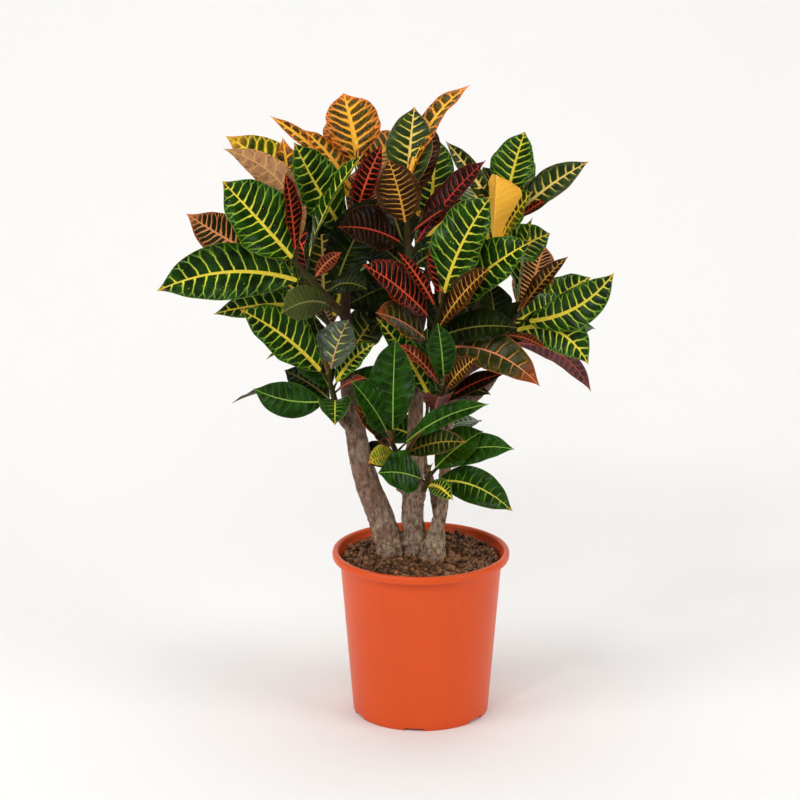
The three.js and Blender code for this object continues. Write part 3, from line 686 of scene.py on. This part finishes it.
# ---------------------------------------------------------------- leafy shoots
# Fourteen shoots, each a green stem with its leaves in a spiral and two young spear leaves at the bud. A
# blade grows flat and then folds a little at the midrib, arches along it and waves at the margin.
BLADE_THICKNESS, BLADE_FROM = 0.45, 0.12  # mm, and the share of a leaf's length that is bare stalk
FOLD, WAVE, WAVES_PER_BLADE = 16, 0.055, 2.6
STALK_RADII = (1.5, 0.7)
BUD_RADIUS, ROOT_DEPTH, STEM_GAP = 1.6, 0.35, 0.4
SMALL_BLADE = 30
SHOOTS = {
    # base and top of the green stem and its radius, then a row for each leaf: height on the stem 0-1, tip x,
    # y, z, blade width, roll in degrees, arch, coat, and the fold where it differs from the usual one
    "upper_left": ((-93, -6, 490), (-148, -14, 556), 5, [
        (0.05, -243, 20, 482, 34, -55, 10, "G"),
        (0.12, -158, -118, 520, 40, 100, 10, "G"),
        (0.2, -44, 24, 622, 56, 50, 10, "D"),
        (0.35, -62, -66, 534, 38, 40, 10, "D"),
        (0.5, -303, -50, 528, 66, -70, 21, "G"),
        (0.6, -92, -40, 571, 17, 110, 4, "R"),
        (0.68, -273, 32, 600, 57, -64, -5, "E"),
        (0.76, -66, -30, 684, 44, 25, 10, "G"),
        (0.84, -227, -34, 653, 78, -66, 1, "G"),
        (0.9, -172, 4, 596, 20, 0, 3, "M"),
        (0.95, -227, -8, 685, 38, 105, 35, "H"),
        (0.97, -155, -40, 664, 26, -110, 4, "M"),
        (1, -160, 34, 690, 38, -8, 6, "O"),
    ]),
    "top_back": ((-82, 40, 560), (-72, 45, 652), 4.5, [
        (0.1, -44, 150, 640, 48, 0, 12, "E"),
        (0.25, -45, 18, 684, 28, 100, 4, "M"),
        (0.05, -146, -4, 692, 60, -86, -3, "G"),
        (0.35, -229, 80, 682, 54, -64, 2, "H"),
        (0.5, -150, 150, 640, 52, -20, 12, "O"),
        (0.6, -137, 48, 696, 28, -40, 6, "O"),
        (0.75, -176, 60, 710, 18, -50, 4, "O"),
        (0.82, -18, 118, 674, 48, 20, 8, "O"),
        (0.9, -104, 104, 702, 50, -20, 6, "O"),
        (1, -91, 80, 733, 66, -10, 4, "O"),
    ]),
    "top_centre": ((-14, 2, 534), (-18, 5, 628), 4.5, [
        (0.04, -60, 46, 564, 44, -50, 4, "D"),
        (0.06, 34, 34, 560, 42, 50, 4, "D"),
        (0.08, -48, 134, 606, 50, -10, 12, "D"),
        (0.15, 62, 100, 600, 46, 20, 10, "G"),
        (0.25, 73, -20, 674, 38, 50, 6, "X"),
        (0.35, -95, -64, 606, 54, -60, 8, "W"),
        (0.5, 46, -20, 628, 16, 40, 3, "W"),
        (0.55, -38, -16, 674, 52, -130, 3, "B"),
        (0.8, 12, 70, 698, 48, 10, 6, "B"),
        (0.9, -8, 38, 725, 54, 5, 5, "Y"),
        (1, 56, 60, 746, 36, 5, 21, "O"),
    ]),
    "centre": ((9, -28, 448), (22, -62, 514), 4.5, [
        (0.05, 134, -110, 432, 46, 50, 22, "F"),
        (0.2, -52, -120, 521, 44, -60, 6, "F"),
        (0.3, 109, -90, 495, 40, 60, 8, "D"),
        (0.4, 76, -118, 572, 34, 80, 6, "B"),
        (0.6, -66, -110, 574, 48, -60, 6, "M"),
        (0.72, 125, -92, 597, 58, 62, 8, "G"),
        (0.85, -27, -80, 581, 16, -80, 3, "M"),
        (0.95, 79, -60, 642, 70, 50, 8, "G"),
        (1, 20, -30, 596, 30, 0, 3, "M"),
    ]),
    "back_right": ((80, 31, 528), (96, 50, 598), 4.5, [
        (0.1, 151, 50, 572, 52, 45, 4, "G"),
        (0.2, 60, 150, 606, 52, 0, 12, "G"),
        (0.3, 128, 14, 630, 64, 46, 4, "G"),
        (0.5, 130, 160, 640, 48, 0, 12, "G"),
        (0.6, 146, 30, 618, 14, 30, 3, "M"),
        (0.7, 194, 40, 660, 38, 55, 6, "Y"),
        (0.8, 28, 60, 680, 24, -60, 5, "Y"),
        (0.9, 72, 76, 646, 38, -15, 6, "D"),
        (0.3, 86, -8, 655, 44, -30, 4, "K", 50),
        (1, 121, 72, 689, 54, 18, 3, "G"),
    ]),
    "right": ((78, -10, 440), (112, -15, 492), 4.2, [
        (0.25, 200, 20, 388, 24, 110, 24, "V"),
        (0.3, 78, 4, 528, 44, 0, 3, "D"),
        (0.5, 193, -40, 438, 50, 58, 26, "G"),
        (0.5, 142, -60, 462, 14, 20, 5, "R"),
        (0.62, 184, 66, 476, 44, 30, 12, "G"),
        (0.85, 219, -60, 552, 46, 92, -17, "G"),
        (0.9, 169, -10, 559, 22, 40, 4, "B"),
        (1, 127, -14, 606, 52, 8, 3, "G"),
    ]),
    "mid_right": ((12, -34, 368), (26, -72, 420), 4, [
        (0.2, 22, -128, 424, 34, 0, 8, "X"),
        (0.3, -52, -40, 494, 30, -55, 6, "G"),
        (0.4, 95, -84, 440, 22, 60, 6, "W"),
        (0.55, 80, -62, 408, 18, 80, 12, "D"),
        (0.65, -12, -72, 477, 16, -80, 4, "P"),
        (0.75, 62, -104, 464, 26, 80, 4, "B"),
        (0.9, -26, -84, 474, 22, -45, 5, "R"),
        (1, 18, -84, 499, 32, -145, 3, "P"),
    ]),
    "front_low": ((-22, -24, 304), (-33, -60, 350), 4, [
        (0.1, 2, -110, 380, 14, 30, 5, "R"),
        (0.3, -61, -108, 340, 28, -60, 8, "N"),
        (0.45, 51, -112, 366, 30, 70, 8, "K"),
        (0.6, -78, -62, 394, 32, -60, 5, "F"),
        (0.7, 76, -114, 412, 26, 60, 10, "P"),
        (0.8, -81, -84, 431, 42, -72, 5, "P"),
        (1, -30, -50, 473, 54, 0, 4, "P"),
    ]),
    "right_low": ((3, -28, 282), (10, -68, 316), 3.6, [
        (0.2, 36, -122, 300, 22, 50, 8, "G"),
        (0.4, 104, -120, 286, 42, 62, 16, "Q"),
        (0.5, -50, -114, 330, 50, -68, 5, "P"),
        (0.75, 107, -80, 348, 36, 65, 16, "P"),
        (0.9, 71, -70, 367, 44, 58, 4, "P"),
    ]),
    "left_low": ((-98, -28, 380), (-107, -42, 424), 4, [
        (0.1, -221, -10, 383, 30, 10, 18, "D"),
        (0.15, -160, 0, 420, 34, -50, 4, "D"),
        (0.2, -99, -105, 384, 38, 0, 14, "Q"),
        (0.3, -194, -50, 412, 42, -72, -8, "P"),
        (0.42, -150, -6, 450, 42, -40, 8, "P"),
        (0.52, -64, -62, 428, 14, 30, 3, "R"),
        (0.62, -54, -36, 462, 30, 45, 6, "G"),
        (0.72, -126, 14, 480, 26, -10, 4, "D"),
        (0.85, -207, -62, 509, 58, -62, 8, "G"),
        (1, -84, -22, 487, 50, 20, 4, "S"),
    ]),
    "back": ((6, 82, 496), (12, 112, 556), 4.5, [
        (0.1, -60, 190, 470, 50, 0, 14, "G"),
        (0.2, 82, 200, 500, 52, 20, 14, "P"),
        (0.15, -60, 40, 452, 48, -50, 6, "D"),
        (0.2, 64, 60, 463, 52, 60, 6, "D"),
        (0.3, -92, 44, 484, 56, -60, 4, "D"),
        (0.55, 8, 228, 540, 56, 0, 14, "G"),
        (0.7, 78, 176, 590, 52, 20, 12, "G"),
        (0.85, -50, 200, 620, 52, -10, 10, "O"),
        (1, 20, 156, 664, 52, 0, 8, "G"),
    ]),
    "back_left": ((-86, 66, 400), (-118, 104, 466), 4.5, [
        (0.1, -72, 196, 420, 46, 0, 14, "P"),
        (0.2, -186, 120, 400, 44, -20, 14, "G"),
        (0.4, -230, 140, 462, 52, -25, 14, "G"),
        (0.55, -146, 232, 460, 54, 0, 14, "E"),
        (0.7, -72, 180, 520, 48, 10, 10, "G"),
        (0.82, -232, 100, 540, 54, -35, 10, "G"),
        (0.92, -160, 186, 558, 52, -10, 8, "M"),
        (1, -120, 112, 588, 48, 0, 5, "Y"),
    ]),
    "back_right_low": ((84, 58, 390), (124, 96, 444), 4.2, [
        (0.3, 60, 184, 430, 46, 0, 12, "G"),
        (0.5, 124, 216, 420, 52, 10, 14, "G"),
        (0.65, 212, 150, 430, 48, 25, 14, "P"),
        (0.85, 204, 128, 500, 50, 30, 8, "G"),
        (1, 150, 170, 530, 50, 5, 6, "E"),
    ]),
    "back_low": ((4, 50, 300), (8, 84, 350), 3.8, [
        (0.15, 74, 160, 310, 42, 10, 12, "P"),
        (0.3, -64, 70, 330, 46, -50, 6, "Q"),
        (0.5, 70, 150, 366, 46, 25, 10, "P"),
        (0.65, -88, 136, 380, 46, -25, 10, "P"),
        (0.85, 12, 190, 392, 52, 0, 10, "G"),
        (1, 8, 122, 440, 44, 0, 5, "P"),
    ]),
}

INNER_LEAVES = {
    # leaves deep in the crown, which close the gaps between the branches, as rows of the same kind; most wear
    # coat D, a near-black green that is painted shade
    "top_back": [(0.15, -158, 66, 596, 44, -70, 6, "D")],
    "back_left": [(0.1, -32, 70, 488, 50, 60, 6, "K")],
    "back": [
        (0.05, 26, 58, 436, 46, 0, 6, "D"),
        (0.3, -74, 66, 548, 50, -70, 6, "D"),
        (0.5, -28, 118, 584, 46, 0, 6, "D"),
    ],
    "right": [(0.15, 132, 40, 482, 46, 60, 6, "D")],
    "front_low": [(0.05, -70, 8, 322, 30, -60, 4, "D")],
}


def unit(v):
    return v / np.linalg.norm(v, axis=-1, keepdims=True)


def template_of(bm, name):
    """A mesh to copy, with its vertices' own places as an array."""
    bmesh.ops.recalc_face_normals(bm, faces=bm.faces)
    mesh = bpy.data.meshes.new(name)
    bm.to_mesh(mesh)
    bm.free()
    return mesh, np.array([vertex.co[:] for vertex in mesh.vertices])


def blade_template(across, along):
    """A flat slab: x from -1 to 1 across the blade, y from 0 at its stalk to 1 at its tip, z from -1 to 0."""
    bm = bmesh.new()
    bmesh.ops.create_grid(bm, x_segments=across, y_segments=along, size=1)
    low = bmesh.ops.extrude_face_region(bm, geom=bm.faces[:])["geom"]
    bmesh.ops.translate(bm, verts=those(bmesh.types.BMVert, low), vec=(0, 0, -1))
    layer = bm.loops.layers.uv.new("blade")
    for vertex in bm.verts:
        vertex.co.x = math.copysign(abs(vertex.co.x) ** 1.2, vertex.co.x)
        vertex.co.y = (vertex.co.y + 1) / 2
    for face in bm.faces:
        face.material_index = int(all(vertex.co.z < -0.5 for vertex in face.verts))
        for loop in face.loops:
            loop[layer].uv = ((loop.vert.co.x + 1) / 2, loop.vert.co.y)
    return template_of(bm, "blade")


def tube_template(around, along):
    """A closed tube of radius 1 round the z axis, from z = 0 to 1."""
    bm = bmesh.new()
    bmesh.ops.create_circle(bm, cap_ends=True, segments=around, radius=1)
    cap = bm.faces[:]
    for _ in range(along):
        grown = bmesh.ops.extrude_face_region(bm, geom=cap)["geom"]
        bmesh.ops.translate(bm, verts=those(bmesh.types.BMVert, grown), vec=(0, 0, 1 / along))
        cap = those(bmesh.types.BMFace, grown)
    bm.loops.layers.uv.new("blade")
    for face in bm.faces:
        face.material_index = 2
    return template_of(bm, "tube")


def put(bm, template, places, slots, size=None):
    """Adds a copy of a template, moved to new places in mm, with its material numbers looked up in slots."""
    had_verts, had_faces = len(bm.verts), len(bm.faces)
    bm.from_mesh(template)
    bm.verts.ensure_lookup_table()
    bm.faces.ensure_lookup_table()
    vectors = bm.verts.layers.float_vector
    blade_size = vectors.get("blade_size") or vectors.new("blade_size")
    bm.verts.ensure_lookup_table()
    for i, vertex in enumerate(bm.verts[had_verts:]):
        vertex.co = places[i] * MM
        if size is not None:
            vertex[blade_size] = size[i]
    for face in bm.faces[had_faces:]:
        face.material_index = slots[face.material_index]


def leaf_line(root, row, share):
    """Points down the middle of a leaf at shares of its length, with the directions off and across it."""
    chord = np.array(row[1:4]) - root
    outward = unit(chord)
    arched = unit(np.array((0, 0, 1)) - outward[2] * outward)
    share = share[:, None]
    middle = root + share * chord + 4 * row[6] * share * (1 - share) * arched
    along = unit(chord + 4 * row[6] * (1 - 2 * share) * arched)
    off = unit(arched - (along @ arched)[:, None] * along)
    roll = math.radians(row[5])
    off = math.cos(roll) * off + math.sin(roll) * np.cross(along, off)
    return middle, off, np.cross(along, off)


def blade_shape(template, root, row, number, seed):
    """The blade's points in mm, and each one's blade length, half width and seed for the material."""
    a, u, layer = template.T
    a_abs, under = np.abs(a), -layer
    share = BLADE_FROM + (1 - BLADE_FROM) * u
    late = np.clip((u - 0.8) / 0.2, 0, 1)
    outline = np.sin(np.pi * np.clip(u, 0, 1)) ** (0.74 + 0.4 * late * late * (3 - 2 * late))
    half = np.maximum(outline * row[4] / 2, 0.9 * (1 - u) + 0.15)
    middle, off, aside = leaf_line(root, row, share)
    fold = math.tan(math.radians(row[8] if len(row) > 8 else FOLD))
    wave = np.sin(2 * np.pi * WAVES_PER_BLADE * share + 2.1 * number + 1.3 * np.sign(a))
    ripple = np.sin(2 * np.pi * 6.3 * share + 4.7 * number + 2.2 * np.sign(a)) * np.sin(np.pi * u)
    lift = fold * half * (1.3 * a_abs - 0.3 * a_abs ** 3) + WAVE * row[4] * outline * wave * a_abs ** 2.2
    lift += 0.012 * row[4] * ripple * a_abs ** 4
    keel = 0.9 * (1 - u) ** 0.6 * np.exp(-((a_abs * half / 1.3) ** 2))
    lift -= under * (BLADE_THICKNESS + keel)
    points = middle + (a * half)[:, None] * aside + lift[:, None] * off
    length = (1 - BLADE_FROM) * np.linalg.norm(np.array(row[1:4]) - root)
    return points, np.column_stack([np.full(len(u), length), half, np.full(len(u), seed)])


def tube_shape(template, centres, off, aside, radii):
    """The tube's points in mm, round a line of centres."""
    x, y, _ = template.T
    return centres + (x * radii)[:, None] * aside + (y * radii)[:, None] * off


blades = {False: blade_template(20, 56), True: blade_template(12, 36)}
stalks = tube_template(8, 8)
stems = tube_template(14, 44)

for order, (name, (base, top, radius, rows)) in enumerate(SHOOTS.items()):
    base, top = np.array(base, float), np.array(top, float)
    along = unit(top - base)
    start = base + STEM_GAP * along
    spears = [(1, *(top + 24 * along + (3 * i - 4, 2 * i, 0)), 5 + i, 40 * i, 2, "BR"[i]) for i in (0, 1)]
    inner = INNER_LEAVES.get(name, [])
    coats = sorted({row[7] for row in rows + spears + inner})
    pairs = [(blade_materials[coat], under_materials[VEINING[coat][-1]]) for coat in coats]
    skins = [material for pair in pairs for material in pair] + [green_skin]

    shoot = bmesh.new()
    rise = stems[1][:, 2]
    centres = start + rise[:, None] * (top + radius * along - start)
    aside = np.broadcast_to(unit(np.cross(along, (0, 1, 0.01))), centres.shape)
    off = np.cross(aside, along)
    girth = np.interp(rise, (0, 0.6, 1), (radius, 0.8 * radius, BUD_RADIUS))
    for row in rows:
        girth += 0.3 * np.exp(-(((rise - 0.95 * row[0]) / 0.022) ** 2))
    put(shoot, stems[0], tube_shape(stems[1], centres, off, aside, girth), {2: len(skins) - 1})
    for number, row in enumerate(rows + spears + inner):
        seed = (0.37 * number + 0.61 * order) % 1
        on_axis = start + row[0] * (top - start)
        outward = np.array(row[1:4]) - on_axis
        root = on_axis + ROOT_DEPTH * radius * unit(outward - (outward @ along) * along)
        template, places = blades[row[4] < SMALL_BLADE]
        slot = 2 * coats.index(row[7])
        points, size = blade_shape(places, root, row, number, seed)
        put(shoot, template, points, {0: slot, 1: slot + 1}, size)
        share = 0.2 * stalks[1][:, 2]
        centres, off, aside = leaf_line(root, row, share)
        girth = np.interp(share, (0, 0.2), STALK_RADII) * min(1, row[4] / 20 + 0.3)
        sunk = np.interp(share, (0, 0.1, 0.15), (0.6, 0.6, 1.3))
        centres = centres - (sunk * girth)[:, None] * off
        put(shoot, stalks[0], tube_shape(stalks[1], centres, off, aside, girth), {2: len(skins) - 1})
    piece = piece_from(shoot, f"{name}_leaves", *skins)
    piece.data.set_sharp_from_angle(angle=math.radians(55))
    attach(piece, "root")
    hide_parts(f"{name}_shoot")
